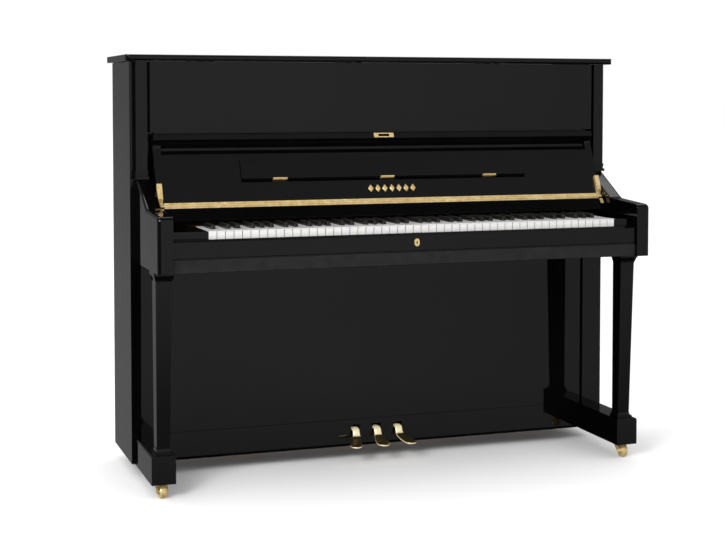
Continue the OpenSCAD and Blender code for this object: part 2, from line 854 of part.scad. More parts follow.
left_side_panel();
right_side_panel();
front_pilasters();
arms();
legs();
toe_blocks();
key_bed();
key_slip();
key_blocks();
upper_panel();
lower_panel();
bottom_rail();
bottom_board();
top_lid();
lid_hinge_frame_leaves();
lid_hinge_lid_leaves();
fallboard();
fallboard_hinge_fixed_leaf();
fallboard_hinge_moving_leaf();
strike_plate();
music_desk();
music_desk_hinges();
nameboard();
lock_escutcheon();
lock_bolt();
keys_c_f();
keys_d_g();
keys_e_a();
keys_b();
keys_c_sharp_f_sharp();
keys_d_sharp_g_sharp();
keys_a_sharp();
key_frame();
hammers_c_f();
hammers_d_g();
hammers_e_a();
hammers_b();
hammers_c_sharp_f_sharp();
hammers_d_sharp_g_sharp();
hammers_a_sharp();
action_frame();
hammer_rest_rail();
dampers();
muffler_rail();
left_pedal();
middle_pedal();
right_pedal();
pedal_frame();
front_left_caster_fork();
front_left_caster_wheel();
front_right_caster_fork();
front_right_caster_wheel();
rear_caster_forks();
rear_left_caster_wheel();
rear_right_caster_wheel();
back_frame();
soundboard();
iron_plate();
tuning_pins();
strings();
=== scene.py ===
import math

import bmesh
import bpy
from mathutils import Matrix, Vector


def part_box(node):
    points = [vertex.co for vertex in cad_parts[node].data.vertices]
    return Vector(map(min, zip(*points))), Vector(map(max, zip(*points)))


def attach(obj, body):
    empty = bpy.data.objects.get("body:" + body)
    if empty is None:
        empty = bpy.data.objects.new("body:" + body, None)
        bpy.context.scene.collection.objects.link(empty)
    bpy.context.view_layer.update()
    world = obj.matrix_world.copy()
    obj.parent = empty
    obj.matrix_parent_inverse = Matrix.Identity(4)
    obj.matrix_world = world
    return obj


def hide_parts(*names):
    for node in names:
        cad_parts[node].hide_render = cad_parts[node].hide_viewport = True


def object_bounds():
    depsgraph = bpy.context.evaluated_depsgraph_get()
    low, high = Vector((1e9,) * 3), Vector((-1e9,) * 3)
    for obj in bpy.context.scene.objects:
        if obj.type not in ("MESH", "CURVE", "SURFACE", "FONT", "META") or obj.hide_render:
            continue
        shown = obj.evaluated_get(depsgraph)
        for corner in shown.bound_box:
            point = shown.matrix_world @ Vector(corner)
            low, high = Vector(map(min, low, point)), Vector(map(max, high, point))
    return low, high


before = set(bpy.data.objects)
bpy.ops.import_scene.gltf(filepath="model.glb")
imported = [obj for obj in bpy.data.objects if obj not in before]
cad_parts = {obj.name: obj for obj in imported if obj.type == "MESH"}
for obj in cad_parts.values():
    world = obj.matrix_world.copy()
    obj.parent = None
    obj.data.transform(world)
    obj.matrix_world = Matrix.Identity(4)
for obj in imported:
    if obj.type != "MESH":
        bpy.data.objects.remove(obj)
cad_low, cad_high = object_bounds()
MM = 0.001
SAME_POINT = 0.01 * MM


# ---------------------------------------------------------------- camera
CAMERA_AT = (-1.4795, -4.0922, 1.0895)
CAMERA_YAW = 19.066
CAMERA_DOWN = 2.556
FRAME_WIDE = 36.0
lens = bpy.data.cameras.new("camera")
lens.sensor_width = FRAME_WIDE
lens.lens = 72.28
lens.shift_x = 0.0043
lens.shift_y = -0.1517
camera = bpy.data.objects.new("camera", lens)
camera.location = CAMERA_AT
camera.rotation_euler = (math.radians(90 - CAMERA_DOWN), 0, math.radians(-CAMERA_YAW))
bpy.context.scene.collection.objects.link(camera)
bpy.context.scene.camera = camera
bpy.context.scene.view_settings.view_transform = "Standard"


# ---------------------------------------------------------------- materials
class Finish:
    """A material on the Principled shader, with helpers for the nodes that vary over the surface."""

    def __init__(self, name, **sockets):
        self.material = bpy.data.materials.new(name)
        self.material.use_nodes = True
        self.nodes = self.material.node_tree.nodes
        self.links = self.material.node_tree.links
        self.shader = self.nodes["Principled BSDF"]
        for key, value in sockets.items():
            self.shader.inputs[key.replace("_", " ")].default_value = value
        self.place = self.nodes.new("ShaderNodeTexCoord").outputs["Object"]

    def stretched(self, scale, turn=(0, 0, 0)):
        mapping = self.nodes.new("ShaderNodeMapping")
        mapping.inputs["Scale"].default_value = scale
        mapping.inputs["Rotation"].default_value = turn
        self.links.new(self.place, mapping.inputs["Vector"])
        return mapping.outputs["Vector"]

    def noise(self, scale, detail=3.0, rough=0.5, place=None, distortion=0.0):
        node = self.nodes.new("ShaderNodeTexNoise")
        node.inputs["Scale"].default_value = scale
        node.inputs["Detail"].default_value = detail
        node.inputs["Roughness"].default_value = rough
        node.inputs["Distortion"].default_value = distortion
        self.links.new(place or self.place, node.inputs["Vector"])
        return node.outputs["Fac"]

    def waves(self, scale, direction, distortion=2.0, place=None, detail=2.0):
        node = self.nodes.new("ShaderNodeTexWave")
        node.bands_direction = direction
        node.inputs["Scale"].default_value = scale
        node.inputs["Distortion"].default_value = distortion
        node.inputs["Detail"].default_value = detail
        self.links.new(place or self.place, node.inputs["Vector"])
        return node.outputs["Fac"]

    def between(self, fac, low, high, socket, start=0.3, stop=0.7):
        """Drives a number socket from low to high as fac goes from start to stop."""
        node = self.nodes.new("ShaderNodeMapRange")
        for key, value in zip(("From Min", "From Max", "To Min", "To Max"), (start, stop, low, high)):
            node.inputs[key].default_value = value
        self.links.new(fac, node.inputs["Value"])
        self.links.new(node.outputs["Result"], self.shader.inputs[socket])

    def tint(self, fac, *stops):
        """Colours the surface: stops are (place on the ramp, colour)."""
        ramp = self.nodes.new("ShaderNodeValToRGB")
        while len(ramp.color_ramp.elements) < len(stops):
            ramp.color_ramp.elements.new(0.5)
        for element, (at, colour) in zip(ramp.color_ramp.elements, stops):
            element.position = at
            element.color = (*colour, 1)
        self.links.new(fac, ramp.inputs["Fac"])
        self.links.new(ramp.outputs["Color"], self.shader.inputs["Base Color"])

    def bump(self, height, strength, distance):
        node = self.nodes.new("ShaderNodeBump")
        node.inputs["Strength"].default_value = strength
        node.inputs["Distance"].default_value = distance
        self.links.new(height, node.inputs["Height"])
        below = self.shader.inputs["Normal"].links
        if below:
            self.links.new(below[0].from_socket, node.inputs["Normal"])
        self.links.new(node.outputs["Normal"], self.shader.inputs["Normal"])


def polyester():
    f = Finish("black_polyester", IOR=1.5, Specular_IOR_Level=0.5)
    f.tint(f.noise(3.0), (0.3, (0.0007, 0.0007, 0.0008)), (0.7, (0.0013, 0.0013, 0.0014)))
    f.between(f.noise(9.0, 4.0), 0.015, 0.05, "Roughness")
    f.bump(f.noise(16.0, 1.0), 0.02, 0.0006)
    return f.material


def satin_black(name, low, high, scale):
    f = Finish(name, IOR=1.5)
    f.tint(f.noise(scale), (0.3, (0.006, 0.006, 0.006)), (0.7, (0.012, 0.0115, 0.011)))
    f.between(f.noise(scale * 3, 4.0), low, high, "Roughness")
    f.bump(f.noise(900.0, 2.0), 0.12, 0.0001)
    return f.material


def ivory():
    f = Finish("key_white", IOR=1.49, Subsurface_Weight=0.06, Subsurface_Scale=0.002)
    f.shader.inputs["Subsurface Radius"].default_value = (1.0, 0.9, 0.7)
    f.tint(f.noise(18.0), (0.25, (0.61, 0.605, 0.595)), (0.75, (0.65, 0.645, 0.635)))
    f.between(f.noise(60.0, 4.0), 0.14, 0.24, "Roughness")
    f.bump(f.noise(260.0, 2.0), 0.03, 0.0002)
    return f.material


def brass(name, rough, deep, light):
    f = Finish(name, Metallic=0.6, IOR=1.45)
    f.tint(f.noise(45.0, 6.0, 0.7), (0.3, deep), (0.62, light))
    f.between(f.noise(70.0, 6.0, 0.65), rough, rough + 0.11, "Roughness")
    f.bump(f.noise(1.0, 3.0, place=f.stretched((60, 900, 900))), 0.04, 0.0001)
    f.bump(f.noise(120.0, 2.0), 0.06, 0.0003)
    return f.material


def brass_painted_dark_on_top():
    """Brass that is bright where it stands up, with painted shade on the upper side of the feet: brown
    there, standing in for a dark reflection from above.
    """
    f = Finish("pedal_brass", IOR=1.45)
    split = f.nodes.new("ShaderNodeSeparateXYZ")
    f.links.new(f.nodes.new("ShaderNodeNewGeometry").outputs["True Normal"], split.inputs["Vector"])
    height = f.nodes.new("ShaderNodeSeparateXYZ")
    f.links.new(f.place, height.inputs["Vector"])
    # painted shade: faces of the feet that turn upward, below 73 to 80 mm, are tinted brown and made more
    # metallic, standing in for the dark reflection from above
    low = f.nodes.new("ShaderNodeMapRange")
    low.inputs["From Min"].default_value, low.inputs["From Max"].default_value = 80 * MM, 73 * MM
    f.links.new(height.outputs["Z"], low.inputs["Value"])
    painted_top_shade = f.nodes.new("ShaderNodeMath")
    painted_top_shade.operation = "MULTIPLY"
    f.links.new(split.outputs["Z"], painted_top_shade.inputs[0])
    f.links.new(low.outputs["Result"], painted_top_shade.inputs[1])
    f.tint(painted_top_shade.outputs["Value"], (0.25, (1.0, 0.88, 0.56)), (0.6, (0.36, 0.26, 0.11)))
    f.between(f.noise(60.0, 5.0), 0.12, 0.26, "Roughness")
    f.between(painted_top_shade.outputs["Value"], 0.35, 0.95, "Metallic", 0.2, 0.5)
    f.bump(f.noise(120.0, 3.0), 0.06, 0.0003)
    return f.material


def wood(name, along, dark, mid, light, coarse, rough=0.5):
    """Straight grain along one axis, with pores and slow changes of tone."""
    scale = [coarse, coarse, coarse]
    scale[along] = coarse * 0.045
    f = Finish(name, IOR=1.45)
    grain = f.stretched(scale)
    fibre = f.noise(1.0, 6.0, 0.6, grain, 0.6)
    f.tint(fibre, (0.28, dark), (0.5, mid), (0.72, light))
    f.between(f.noise(3.0, 6.0, 0.6, grain), rough, rough + 0.2, "Roughness")
    f.bump(f.noise(4.0, 4.0, 0.6, grain), 0.25, 0.0003)
    return f.material


def spruce_board():
    f = Finish("spruce", IOR=1.45)
    lay = f.stretched((1, 1, 1), (0, math.radians(-50), 0))
    rings = f.waves(42.0, "X", 1.2, lay)
    f.tint(rings, (0.1, (0.53, 0.32, 0.13)), (0.5, (0.68, 0.45, 0.21)), (0.95, (0.60, 0.37, 0.155)))
    f.between(f.noise(30.0, 4.0), 0.32, 0.5, "Roughness")
    f.bump(rings, 0.12, 0.0002)
    return f.material


def felt(name, low, high):
    f = Finish(name, Roughness=0.95, Sheen_Weight=0.5, Sheen_Roughness=0.6)
    f.tint(f.noise(140.0, 5.0), (0.3, low), (0.7, high))
    f.bump(f.noise(1500.0, 4.0, 0.7), 0.5, 0.0005)
    return f.material


def cast_paint(name, low, high, metal, rough, grain):
    f = Finish(name, Metallic=metal)
    f.tint(f.noise(8.0, 5.0), (0.3, low), (0.7, high))
    f.between(f.noise(40.0, 4.0), rough, rough + 0.16, "Roughness")
    f.bump(f.noise(grain, 3.0, 0.6), 0.3, 0.0005)
    return f.material


def wire(name, colour, dark, turns):
    f = Finish(name, Metallic=1.0)
    f.tint(f.noise(30.0, 3.0), (0.3, dark), (0.7, colour))
    f.between(f.noise(200.0, 2.0), 0.2, 0.34, "Roughness")
    f.bump(f.waves(turns, "Z", 0.0, detail=0.0), 0.5, 0.0003)
    return f.material


BLACK = polyester()
BED = satin_black("key_bed_wood", 0.35, 0.5, 30.0)
IVORY = ivory()
EBONY = satin_black("key_black", 0.2, 0.3, 40.0)
BRASS = brass("brass", 0.18, (0.70, 0.43, 0.12), (0.98, 0.80, 0.42))
BEECH = [wood(f"beech_{'xyz'[a]}", a, (0.34, 0.17, 0.07), (0.50, 0.29, 0.135), (0.62, 0.39, 0.20), 60)
         for a in range(3)]
KEYWOOD = wood("key_spruce", 1, (0.56, 0.38, 0.19), (0.70, 0.52, 0.30), (0.78, 0.61, 0.38), 90)
SPRUCE = spruce_board()
HAMMER_FELT = felt("hammer_felt", (0.70, 0.68, 0.62), (0.83, 0.81, 0.76))
DAMPER_FELT = felt("damper_felt", (0.66, 0.63, 0.58), (0.78, 0.76, 0.70))
MUFFLER_FELT = felt("muffler_felt", (0.16, 0.27, 0.15), (0.23, 0.36, 0.20))
RED_CLOTH = felt("red_cloth", (0.22, 0.02, 0.025), (0.33, 0.035, 0.04))
BRONZE = cast_paint("plate_bronze", (0.38, 0.25, 0.085), (0.50, 0.34, 0.13), 0.75, 0.32, 300.0)
PEDAL_BRASS = brass_painted_dark_on_top()
IRON = cast_paint("pedal_frame_iron", (0.03, 0.028, 0.026), (0.055, 0.05, 0.046), 0.4, 0.5, 300.0)
STEEL = wire("string_steel", (0.62, 0.63, 0.65), (0.45, 0.46, 0.48), 40.0)
COPPER = wire("string_copper", (0.72, 0.35, 0.18), (0.50, 0.22, 0.10), 500.0)
PIN = cast_paint("pin_steel", (0.42, 0.43, 0.46), (0.58, 0.59, 0.62), 1.0, 0.2, 600.0)


# ---------------------------------------------------------------- mesh helpers
def smooth(mesh):
    mesh.polygons.foreach_set("use_smooth", [True] * len(mesh.polygons))


def soften(obj, width, segments=2, angle=28):
    """Rounds the sharp edges and keeps the flats flat."""
    bevel = obj.modifiers.new("round", "BEVEL")
    bevel.width = width
    bevel.segments = segments
    bevel.limit_method = "ANGLE"
    bevel.angle_limit = math.radians(angle)
    bevel.harden_normals = False
    bevel.miter_outer = "MITER_ARC"
    weighted = obj.modifiers.new("flats", "WEIGHTED_NORMAL")
    weighted.keep_sharp = False
    weighted.weight = 100
    smooth(obj.data)


def dress(node, material, width=0.0, segments=2, slots=(), crisp=False):
    """Gives a CAD node its material. Unless it stays crisp, modifiers join its edges, and round them when
    a width is given.
    """
    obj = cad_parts[node]
    mesh = obj.data
    mesh.materials.clear()
    for m in (material, *slots):
        mesh.materials.append(m)
    if mesh.has_custom_normals:
        with bpy.context.temp_override(object=obj, active_object=obj):
            bpy.ops.mesh.customdata_custom_splitnormals_clear()
    if crisp:
        mesh.shade_flat()
        return obj
    weld = obj.modifiers.new("weld", "WELD")
    weld.merge_threshold = SAME_POINT
    flat = obj.modifiers.new("planar", "DECIMATE")
    flat.decimate_type = "DISSOLVE"
    flat.angle_limit = math.radians(0.4)
    if width:
        soften(obj, width, segments)
    else:
        smooth(mesh)
        weighted = obj.modifiers.new("flats", "WEIGHTED_NORMAL")
        weighted.weight = 100
    return obj


class Piece:
    """A mesh built from parts, each with its own place in the list of materials."""

    def __init__(self, name, body, materials, slot=None, stands_for=()):
        self.name, self.body, self.slot, self.stands_for = name, body, slot, stands_for
        self.materials = materials
        self.bm = bmesh.new()

    def faces(self, rings, mat=0, closed=True, caps=True):
        """Joins rings of points into a tube with capped ends."""
        made = [[self.bm.verts.new(p) for p in ring] for ring in rings]
        count = len(made[0])
        for a, b in zip(made, made[1:]):
            for i in range(count if closed else count - 1):
                j = (i + 1) % count
                self.bm.faces.new((a[i], a[j], b[j], b[i])).material_index = mat
        if caps:
            self.bm.faces.new(list(reversed(made[0]))).material_index = mat
            self.bm.faces.new(made[-1]).material_index = mat
        return made

    def prism(self, outline, low, high, axis, mat=0, shape=None):
        """An outline made solid along an axis. Its points are in the other two axes, in order."""
        def at(p, t):
            point = {0: (t, *p), 1: (p[0], t, p[1]), 2: (*p, t)}[axis]
            return shape @ Vector(point) if shape else point
        self.faces([[at(p, low) for p in outline], [at(p, high) for p in outline]], mat)

    def box(self, low, high, mat=0, shape=None):
        outline = [(low[0], low[1]), (high[0], low[1]), (high[0], high[1]), (low[0], high[1])]
        self.prism(outline, low[2], high[2], 2, mat, shape)

    def lathe(self, profile, shape, sides=32, mat=0):
        """A profile of (radius, height) turned about the shape's own Z."""
        rings = []
        for r, h in profile:
            rings.append([shape @ Vector((r * math.cos(a), r * math.sin(a), h))
                          for a in (2 * math.pi * i / sides for i in range(sides))])
        self.faces(rings, mat)

    def screw(self, shape, radius, mat=0):
        """A low domed screw head with a slot, its base on the shape's own XY plane."""
        r = radius
        self.lathe([(r, 0), (r, 0.12 * r), (0.93 * r, 0.3 * r), (0.7 * r, 0.42 * r)], shape, 20, mat)
        for side in (-1, 1):
            outline = [(-0.68 * r, side * 0.1 * r), (0.68 * r, side * 0.1 * r),
                       (0.5 * r, side * 0.48 * r), (-0.5 * r, side * 0.48 * r)]
            if side < 0:
                outline.reverse()
            self.prism(outline, 0.3 * r, 0.5 * r, 2, mat, shape)

    def sweep(self, path, mat=0, sides=20, square=0.7):
        """A rounded bar along a path. Its stations are (x, y, z, half width, half depth)."""
        rings = []
        for i, (x, y, z, wide, deep) in enumerate(path):
            before, after = path[max(i - 1, 0)], path[min(i + 1, len(path) - 1)]
            along = Vector((after[1] - before[1], after[2] - before[2])).normalized()
            ring = []
            for k in range(sides):
                a = 2 * math.pi * k / sides
                u = math.copysign(abs(math.cos(a)) ** square, math.cos(a)) * wide
                v = math.copysign(abs(math.sin(a)) ** square, math.sin(a)) * deep
                ring.append(Vector((x + u, y - along.y * v, z + along.x * v)) * MM)
            rings.append(ring)
        self.faces(rings, mat)

    def done(self, width=0.0, segments=2, subdivide=0):
        bmesh.ops.recalc_face_normals(self.bm, faces=self.bm.faces)
        mesh = bpy.data.meshes.new(self.name)
        self.bm.to_mesh(mesh)
        self.bm.free()
        for m in self.materials:
            mesh.materials.append(m)
        obj = bpy.data.objects.new(self.name, mesh)
        bpy.context.scene.collection.objects.link(obj)
        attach(obj, self.body)
        if self.stands_for:
            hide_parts(*self.stands_for)
        if subdivide:
            obj.modifiers.new("rounder", "SUBSURF").levels = subdivide
            obj.modifiers["rounder"].render_levels = subdivide
        if width:
            soften(obj, width, segments)
        else:
            smooth(mesh)
        return obj


def islands(node):
    """The separate solids of a CAD node, each as a list of its corner points."""
    bm = bmesh.new()
    bm.from_mesh(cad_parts[node].data)
    bmesh.ops.remove_doubles(bm, verts=bm.verts, dist=SAME_POINT)
    left, found = set(bm.verts), []
    while left:
        queue, seen = [left.pop()], []
        while queue:
            v = queue.pop()
            seen.append(v.co.copy())
            for e in v.link_edges:
                w = e.other_vert(v)
                if w in left:
                    left.remove(w)
                    queue.append(w)
        found.append(seen)
    bm.free()
    return sorted(found, key=lambda pts: min(p.x for p in pts))


# ---------------------------------------------------------------- cabinet
for name in ("left_side_panel", "right_side_panel", "upper_panel", "front_pilasters", "fallboard"):
    dress(name, BLACK, 0.0012, 3)
for name in ("lower_panel", "bottom_rail"):
    dress(name, BLACK, 0.0004, 2)
for name in ("key_slip", "key_blocks", "nameboard", "music_desk"):
    dress(name, BLACK, 0.001, 3)
dress("toe_blocks", BLACK, 0.003, 4)
dress("legs", BLACK, 0.0018, 3)
dress("top_lid", BLACK, 0.0015, 3)
dress("key_bed", BED, 0.002, 2)
dress("bottom_board", BED, 0.001, 2)


# ---------------------------------------------------------------- arms
def side_outline(node):
    """The outline of a node's largest sideways face, as ordered (y, z) places."""
    bm = bmesh.new()
    bm.from_mesh(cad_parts[node].data)
    bmesh.ops.remove_doubles(bm, verts=bm.verts, dist=SAME_POINT)
    bmesh.ops.dissolve_limit(bm, angle_limit=math.radians(0.3), verts=bm.verts, edges=bm.edges)
    flat = max((f for f in bm.faces if abs(f.normal.x) > 0.99), key=lambda f: f.calc_area())
    outline = [(v.co.y, v.co.z) for v in flat.verts]
    bm.free()
    return outline


ARM_ROUND = 10 * MM
arm_low, arm_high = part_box("arms")
arm_line = side_outline("arms")
arm_inner = min(abs(v.co.x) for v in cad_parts["arms"].data.vertices)
piece = Piece("arm_pair", "case", (BLACK,), "black_polyester", ["arms"])
for side in (-1, 1):
    ends = sorted((side * arm_inner, side * arm_high.x))
    piece.prism(arm_line, ends[0], ends[1], 0)
arms = piece.done()
weights = arms.data.attributes.new("bevel_weight_edge", "FLOAT", "EDGE")
for edge in arms.data.edges:
    a, b = (arms.data.vertices[i].co for i in edge.vertices)
    outer = min(abs(a.x), abs(b.x)) > arm_high.x - MM
    under = max(a.z, b.z) < arm_low.z + MM
    if outer and max(a.y, b.y) < arm_high.y - MM:
        weights.data[edge.index].value = 0.6 if under else 1.0
rounder = arms.modifiers.new("round", "BEVEL")
rounder.limit_method = "WEIGHT"
rounder.width = ARM_ROUND
rounder.segments = 6
rounder.use_clamp_overlap = True
soften(arms, 1.2 * MM, 2, 50)

# ---------------------------------------------------------------- brass fittings
for name in ("lid_hinge_frame_leaves", "lid_hinge_lid_leaves", "music_desk_hinges", "strike_plate",
             "lock_escutcheon", "lock_bolt",
             "fallboard_hinge_fixed_leaf", "fallboard_hinge_moving_leaf"):
    dress(name, BRASS, 0.0003, 2)

# ---------------------------------------------------------------- inside and back
dress("key_frame", BEECH[0], 0.0008)
dress("action_frame", BEECH[0], 0.001)
dress("hammer_rest_rail", BEECH[0], 0.0015)
dress("muffler_rail", MUFFLER_FELT, 0.0005)
dress("pedal_frame", IRON, 0.0012)
dress("back_frame", BEECH[2], 0.003, 3)
dress("soundboard", SPRUCE, crisp=True)
dress("iron_plate", BRONZE, 0.003, 3)
dress("tuning_pins", PIN, 0.0004)
dress("strings", STEEL, slots=(COPPER,))

# ---------------------------------------------------------------- keys
KEY_UNDER, KEY_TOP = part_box("keys_c_f")[0].z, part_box("keys_c_f")[1].z
STICK_TOP = KEY_TOP - 3 * MM
PLATE_T = 2.4 * MM
PLATE_LIP = 0.9 * MM
APRON_T = 1.8 * MM


def spread(points, axis):
    values = [p[axis] for p in points]
    return min(values), max(values)


def key_outline(left, right, tail0, tail1, front, head, back, inset=0.0):
    """Plan of a white key: a wide head, and a tail that is cut away for the black keys."""
    left, right, tail0, tail1 = left + inset, right - inset, tail0 + inset, tail1 - inset
    points = [(left, front), (right, front)]
    if tail1 < right - 0.2 * MM:
        points += [(right, head - inset), (tail1, head - inset)]
    points += [(tail1, back), (tail0, back)]
    if tail0 > left + 0.2 * MM:
        points += [(tail0, head - inset), (left, head - inset)]
    return points


def white_key(piece, solid):
    left, right = spread(solid, 0)
    front, back = spread(solid, 1)
    tail0, tail1 = spread([p for p in solid if p.y > back - MM], 0)
    rows = sorted({round(p.y, 5) for p in solid if p.z > KEY_TOP - 0.1 * MM})
    head, shown = rows[1], rows[-1]
    piece.prism(key_outline(left, right, tail0, tail1, front, head, shown),
                KEY_TOP - PLATE_T, KEY_TOP, 2)
    piece.box((left + 0.4 * MM, front + PLATE_LIP, KEY_UNDER),
              (right - 0.4 * MM, front + PLATE_LIP + APRON_T, KEY_TOP - PLATE_T))
    body = front + PLATE_LIP + APRON_T
    piece.prism(key_outline(left, right, tail0, tail1, body, head, shown, 0.4 * MM),
                KEY_UNDER, KEY_TOP - PLATE_T, 2, 1)
    piece.box((tail0 + 0.4 * MM, shown, KEY_UNDER), (tail1 - 0.4 * MM, back, STICK_TOP), 1)


def crown_ring(x, y, low, high, half_low, half_high, r):
    ring = [(x - half_low, y, low), (x + half_low, y, low)]
    for side in (1, -1):
        for k in range(6):
            a = math.radians(18 * k if side > 0 else 90 - 18 * k)
            ring.append((x + side * (half_high - r + r * math.cos(a)), y, high - r + r * math.sin(a)))
    return ring


def black_key(piece, solid):
    back = spread(solid, 1)[1]
    stick = [p for p in solid if p.z < STICK_TOP + 0.1 * MM]
    left, right = spread(stick, 0)
    front = spread(stick, 1)[0]
    crown = [p for p in solid if p.z > STICK_TOP + MM]
    top = spread(crown, 2)[1]
    end = spread(crown, 1)[1]
    x = sum(spread(crown, 0)) / 2
    piece.box((left, front, KEY_UNDER), (right, end, STICK_TOP))
    piece.box((left + 0.2 * MM, end, KEY_UNDER), (right - 0.2 * MM, back, STICK_TOP), 1)
    tall = top - STICK_TOP
    base = STICK_TOP - MM
    rise = [(0.02, 0.10), (0.085, 0.36), (0.15, 0.60), (0.205, 0.79), (0.26, 0.895), (0.35, 0.95),
            (0.47, 0.98), (0.65, 0.995)]
    rings = []
    for back_by, up in rise:
        r = min(1.9 * MM, up * tall * 0.6)
        half = 5.55 * MM - up * 1.1 * MM
        rings.append(crown_ring(x, front + back_by * tall, base, STICK_TOP + up * tall,
                                5.6 * MM, half, r))
    for y in (front + 1.2 * tall, end - MM):
        rings.append(crown_ring(x, y, base, top, 5.6 * MM, 4.45 * MM, 1.9 * MM))
    rings.append(crown_ring(x, end, base, top - 0.4 * MM, 5.4 * MM, 4.2 * MM, 1.9 * MM))
    piece.faces(rings)


for name in ("keys_c_f", "keys_d_g", "keys_e_a", "keys_b"):
    piece = Piece(name + "_white", name, (IVORY, KEYWOOD), "key_white", [name])
    for solid in islands(name):
        white_key(piece, solid)
    piece.done(0.55 * MM, 2)
for name in ("keys_c_sharp_f_sharp", "keys_d_sharp_g_sharp", "keys_a_sharp"):
    piece = Piece(name + "_black", name, (EBONY, KEYWOOD), "key_black", [name])
    for solid in islands(name):
        black_key(piece, solid)
    piece.done(0.3 * MM, 2)


# ---------------------------------------------------------------- action
BUTT = Vector((0, 88, 940)) * MM
LEAN = math.radians(7.8)
HAMMER_R = 145


def hammer(piece, x):
    """Butt, shank, moulding and felt in a frame whose Z runs up the shank and Y to the string."""
    shape = Matrix.Translation((x, BUTT.y, BUTT.z)) @ Matrix.Rotation(LEAN, 4, "X") @ Matrix.Scale(MM, 4)
    butt = [(-7.5, -4), (-8.5, 0), (-7.5, 5), (-4.5, 10), (-3.6, 22), (3.6, 22), (4.2, 13), (8.5, 7),
            (8.8, 1), (7, -5), (2, -8.6), (-4, -8)]
    piece.prism(butt, -3.6, 3.6, 0, 0, shape)
    piece.prism([(-11, 2), (-15, 5), (-15, 10), (-11, 8), (-6, 6), (-6, 1)], -3.2, 3.2, 0, 0, shape)
    piece.lathe([(2.6, 18), (2.6, HAMMER_R - 4)], shape, 12)
    core = [(-6, -5.6), (-7.2, -3), (-7.2, 3), (-6, 5.6), (6, 6.6), (18, 4), (27, 0.8), (27, -0.8),
            (18, -4), (6, -6.6)]
    piece.prism([(y, HAMMER_R + z) for y, z in core], -3.6, 3.6, 0, 0, shape)
    egg = [(7, 7.2), (14, 9.0), (21, 10.4), (27, 10.6), (32, 9.0), (36, 5.6), (37.8, 1.6), (37.8, -1.6),
           (36, -5.6), (32, -9.0), (27, -10.6), (21, -10.4), (14, -9.0), (7, -7.2)]
    piece.prism([(y, HAMMER_R + z) for y, z in egg], -4.6, 4.6, 0, 1, shape)
    cloth = [(-8.2, -4), (-7.2, -4.4), (-7.2, 4.4), (-8.2, 4)]
    piece.prism([(y, HAMMER_R + z) for y, z in cloth], -3.4, 3.4, 0, 2, shape)


for name in [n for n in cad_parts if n.startswith("hammers_")]:
    piece = Piece(name + "_felted", name, (BEECH[2], HAMMER_FELT, RED_CLOTH), "hammer_felt", [name])
    for solid in islands(name):
        hammer(piece, sum(spread(solid, 0)) / 2)
    piece.done(0.7 * MM, 2)

note_places = sorted(sum(spread(solid, 0)) / 2 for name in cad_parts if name.startswith("hammers_")
                     for solid in islands(name))


# ---------------------------------------------------------------- dampers
DAMPER_AXIS = Vector((0, 137, 905)) * MM
rail_low, rail_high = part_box("dampers")
DAMPER_COUNT = 68
damped = [x for x in note_places if rail_low.x < x - 5 * MM and x + 5 * MM < rail_high.x]
piece = Piece("damper_row", "dampers", (BEECH[0], STEEL, DAMPER_FELT, EBONY), "damper_felt", ["dampers"])
AXLE = (Matrix.Translation((rail_low.x, DAMPER_AXIS.y, DAMPER_AXIS.z))
        @ Matrix.Rotation(math.pi / 2, 4, "Y"))
piece.lathe([(2 * MM, 0), (2 * MM, rail_high.x - rail_low.x)], AXLE, 12, 1)
piece.box((rail_low.x + 8 * MM, 132 * MM, 898 * MM), (rail_high.x - 8 * MM, 141 * MM, 912 * MM))
for x in damped[:DAMPER_COUNT]:
    foot = [(134, 904), (139.5, 904), (139, 940), (135.5, 940)]
    piece.prism([(y * MM, z * MM) for y, z in foot], x - 3 * MM, x + 3 * MM, 0, 0)
    piece.sweep([(x / MM, y, z, 0.8, 0.8) for y, z in
                 ((137, 930), (137, 985), (138.5, 1000), (139.5, 1026))], 1, 8, 1.0)
    head = [(136, 1000), (142.5, 994), (145, 994), (145, 1024), (142.5, 1024), (136, 1018)]
    piece.prism([(y * MM, z * MM) for y, z in head], x - 4.6 * MM, x + 4.6 * MM, 0, 3)
    felt_block = [(145, 989), (148, 988.5), (151.8, 992), (151.8, 1026), (148, 1029.5), (145, 1029)]
    piece.prism([(y * MM, z * MM) for y, z in felt_block], x - 4.8 * MM, x + 4.8 * MM, 0, 2)
piece.done(0.6 * MM, 2)


# ---------------------------------------------------------------- strings
def ring_ends(points):
    """The middles of the two ends of a straight wire, lowest first, and its radius."""
    middle = sum(points, Vector()) / len(points)
    far = max(points, key=lambda p: (p - middle).length) - middle
    ends = []
    for side in (-1, 1):
        ring = [p for p in points if (p - middle).dot(far) * side > 0]
        ends.append(sum(ring, Vector()) / len(ring))
    ends.sort(key=lambda p: p.z)
    return ends[0], ends[1], max(min((p - e).length for e in ends) for p in points)


def wire_tube(piece, low, high, radius, mat, sides=8):
    turn = (high - low).to_track_quat("Z", "X").to_matrix().to_4x4()
    piece.lathe([(radius, 0), (radius, (high - low).length)], Matrix.Translation(low) @ turn, sides, mat)


piece = Piece("string_set", "case", (STEEL, COPPER), "string_steel", ["strings"])
for solid in islands("strings"):
    low, high, radius = ring_ends(solid)
    if radius < 0.8 * MM:
        wire_tube(piece, low, high, radius, 0)
        continue
    along = high - low
    wire_tube(piece, low, low + along * 0.035, 0.55 * MM, 0)
    wire_tube(piece, low + along * 0.035, high - along * 0.05, radius, 1, 12)
    wire_tube(piece, high - along * 0.05, high, 0.55 * MM, 0)
piece.done()


